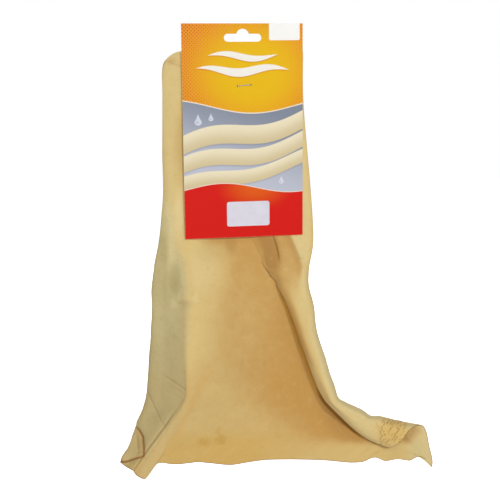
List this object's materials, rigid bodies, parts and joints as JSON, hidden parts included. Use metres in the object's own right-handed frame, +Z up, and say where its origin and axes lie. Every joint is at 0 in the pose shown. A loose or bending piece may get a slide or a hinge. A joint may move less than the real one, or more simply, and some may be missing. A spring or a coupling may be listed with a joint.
{
  "type": "chamois leather on a header card",
  "caption": "Soft chamois leather folded lengthwise, stapled behind a hanging header card with a euro slot, its free end draping open below; for drying and polishing.",
  "frame": {"origin": "crown of the euro slot's hump, in the plane of the card's rear face", "axes": "+Z up along the hanging card, the card's printed side faces -Y, +X to the right of someone facing the card"},
  "size_m": [0.2959, 0.0581, 0.4125],
  "materials": {
    "printed_card": "coated board, printed in amber, grey and red, satin varnish",
    "label_paper": "matt white adhesive paper",
    "staple_wire": "bright galvanised wire",
    "chamois": "oil-tanned suede, both sides napped"
  },
  "bodies": {
    "card": {"header_card": "printed_card", "size_label": "label_paper", "staple": "staple_wire", "skin_gather": "chamois"},
    "drape": {"skin_drape": "chamois"}
  },
  "joints": [
    {"name": "leather_swing", "type": "hinge", "parent": "card", "child": "drape", "pos_m": [0, 0.0058, -0.056], "axis": [1, 0, 0], "range_deg": [0, 90]}
  ]
}
